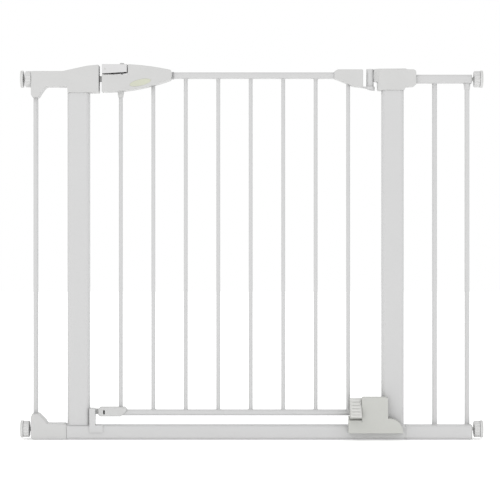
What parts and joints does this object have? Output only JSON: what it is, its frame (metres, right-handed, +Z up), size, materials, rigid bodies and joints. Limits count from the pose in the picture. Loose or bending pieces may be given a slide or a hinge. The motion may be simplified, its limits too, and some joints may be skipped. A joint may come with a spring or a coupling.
{
  "type": "safety baby gate",
  "caption": "White pressure-fit child safety gate with a swinging barred door, squeeze handle latch, lift pedal and screw-out wall feet.",
  "frame": {"origin": "on the floor, at the middle of the gate's width, in the middle plane of its tubes", "axes": "+X along the gate from the latch side to the hinge side, -Y towards the pedal and the user, +Z up"},
  "size_m": [0.9366, 0.0697, 0.7622],
  "materials": {
    "coated_steel": "satin white powder coat",
    "spindle_steel": "zinc plated thread",
    "bright_steel": "zinc plated",
    "pedal_plastic": "fine moulded grain, slightly warm white",
    "tread_plastic": "ribbed",
    "pad_rubber": "pale grey rubber",
    "nut_plastic": "moulded",
    "disc_plastic": "moulded",
    "indicator_plastic": "pale green, smooth",
    "lever_plastic": "moulded",
    "button_plastic": "moulded",
    "latch_plastic": "moulded",
    "housing_plastic": "fine moulded grain, white"
  },
  "bodies": {
    "frame": {"bottom_rail": "coated_steel", "left_post": "coated_steel", "right_post": "coated_steel", "left_side_bar": "coated_steel", "left_stubs": "coated_steel", "left_top_housing_front": "housing_plastic", "left_top_housing_rear": "housing_plastic", "left_bottom_corner_front": "housing_plastic", "left_bottom_corner_rear": "housing_plastic", "right_top_housing_front": "housing_plastic", "right_top_housing_rear": "housing_plastic", "latch_keeper": "latch_plastic", "lower_keeper": "coated_steel", "hinge_spigot": "coated_steel", "ext_top_rail": "coated_steel", "ext_bottom_rail": "coated_steel", "ext_bars": "coated_steel", "ext_joiners": "bright_steel", "guide_bushes": "latch_plastic", "pivot_bracket": "coated_steel", "pedal_cover": "pedal_plastic", "pedal_pin": "bright_steel", "housing_screws": "bright_steel"},
    "lift_carriage": {"lift_pin": "bright_steel"},
    "pedal": {"pedal_lever": "pedal_plastic", "pedal_tread": "tread_plastic"},
    "leaf": {"leaf_top_rail": "coated_steel", "leaf_bottom_rail": "coated_steel", "leaf_bars": "coated_steel", "handle_front_shell": "housing_plastic", "handle_rear_shell": "housing_plastic", "indicator_window": "indicator_plastic", "hinge_cap_front": "housing_plastic", "hinge_cap_rear": "housing_plastic", "upper_hinge_arm": "coated_steel", "lower_hinge_barrel": "coated_steel", "closing_spring": "bright_steel", "lower_latch_cap": "housing_plastic", "bolt_spring": "bright_steel", "handle_screws": "bright_steel", "lever_pin": "bright_steel"},
    "bolt": {"latch_bolt": "latch_plastic"},
    "lever": {"release_lever": "lever_plastic"},
    "button": {"lock_button": "button_plastic"},
    "left_top_foot": {"left_top_spindle": "spindle_steel", "left_top_foot_disc": "disc_plastic", "left_top_wall_pad": "pad_rubber"},
    "left_top_nut": {"left_top_hand_nut": "nut_plastic"},
    "left_bottom_foot": {"left_bottom_spindle": "spindle_steel", "left_bottom_foot_disc": "disc_plastic", "left_bottom_wall_pad": "pad_rubber"},
    "left_bottom_nut": {"left_bottom_hand_nut": "nut_plastic"},
    "right_top_foot": {"right_top_spindle": "spindle_steel", "right_top_foot_disc": "disc_plastic", "right_top_wall_pad": "pad_rubber"},
    "right_top_nut": {"right_top_hand_nut": "nut_plastic"},
    "right_bottom_foot": {"right_bottom_spindle": "spindle_steel", "right_bottom_foot_disc": "disc_plastic", "right_bottom_wall_pad": "pad_rubber"},
    "right_bottom_nut": {"right_bottom_hand_nut": "nut_plastic"}
  },
  "joints": [
    {"name": "leaf_lift", "type": "slide", "parent": "frame", "child": "lift_carriage", "axis": [0, 0, 1], "range_m": [0, 0.008]},
    {"name": "leaf_swing", "type": "hinge", "parent": "lift_carriage", "child": "leaf", "pos_m": [0.23995, 0, 0.05], "axis": [0, 0, -1], "range_deg": [0, 90], "stiffness_Nm_per_rad": 0.6, "springref_deg": -34.38},
    {"name": "pedal_press", "type": "hinge", "parent": "frame", "child": "pedal", "pos_m": [0.21995, -0.024, 0.043], "axis": [1, 0, 0], "range_deg": [0, 18.5]},
    {"name": "bolt_slide", "type": "slide", "parent": "leaf", "child": "bolt", "axis": [1, 0, 0], "range_m": [0, 0.005], "stiffness_N_per_m": 400, "springref_m": -0.005, "deforming": ["bolt_spring"]},
    {"name": "lever_squeeze", "type": "hinge", "parent": "leaf", "child": "lever", "pos_m": [-0.2968, 0, 0.749], "axis": [0, 1, 0], "range_deg": [0, 6]},
    {"name": "button_slide", "type": "slide", "parent": "lever", "child": "button", "axis": [-1, 0, 0], "range_m": [0, 0.005], "stiffness_N_per_m": 100, "springref_m": -0.002},
    {"name": "left_top_nut_spin", "type": "hinge", "parent": "frame", "child": "left_top_nut", "pos_m": [-0.455, 0, 0.7296], "axis": [-1, 0, 0], "range_deg": [0, 2160]},
    {"name": "left_top_foot_slide", "type": "slide", "parent": "frame", "child": "left_top_foot", "axis": [-1, 0, 0], "range_m": [0, 0.0181]},
    {"name": "left_bottom_nut_spin", "type": "hinge", "parent": "frame", "child": "left_bottom_nut", "pos_m": [-0.455, 0, 0.02], "axis": [-1, 0, 0], "range_deg": [0, 2160]},
    {"name": "left_bottom_foot_slide", "type": "slide", "parent": "frame", "child": "left_bottom_foot", "axis": [-1, 0, 0], "range_m": [0, 0.0181]},
    {"name": "right_top_nut_spin", "type": "hinge", "parent": "frame", "child": "right_top_nut", "pos_m": [0.455, 0, 0.7296], "axis": [1, 0, 0], "range_deg": [0, 2160]},
    {"name": "right_top_foot_slide", "type": "slide", "parent": "frame", "child": "right_top_foot", "axis": [1, 0, 0], "range_m": [0, 0.0181]},
    {"name": "right_bottom_nut_spin", "type": "hinge", "parent": "frame", "child": "right_bottom_nut", "pos_m": [0.455, 0, 0.02], "axis": [1, 0, 0], "range_deg": [0, 2160]},
    {"name": "right_bottom_foot_slide", "type": "slide", "parent": "frame", "child": "right_bottom_foot", "axis": [1, 0, 0], "range_m": [0, 0.0181]}
  ],
  "couplings": [
    {"joint": "pedal_press", "follows": "leaf_lift", "rad_per_m": 40.252},
    {"joint": "lever_squeeze", "follows": "bolt_slide", "rad_per_m": 20.874},
    {"joint": "left_top_foot_slide", "follows": "left_top_nut_spin", "m_per_rad": 0.00047746},
    {"joint": "left_bottom_foot_slide", "follows": "left_bottom_nut_spin", "m_per_rad": 0.00047746},
    {"joint": "right_top_foot_slide", "follows": "right_top_nut_spin", "m_per_rad": 0.00047746},
    {"joint": "right_bottom_foot_slide", "follows": "right_bottom_nut_spin", "m_per_rad": 0.00047746}
  ]
}
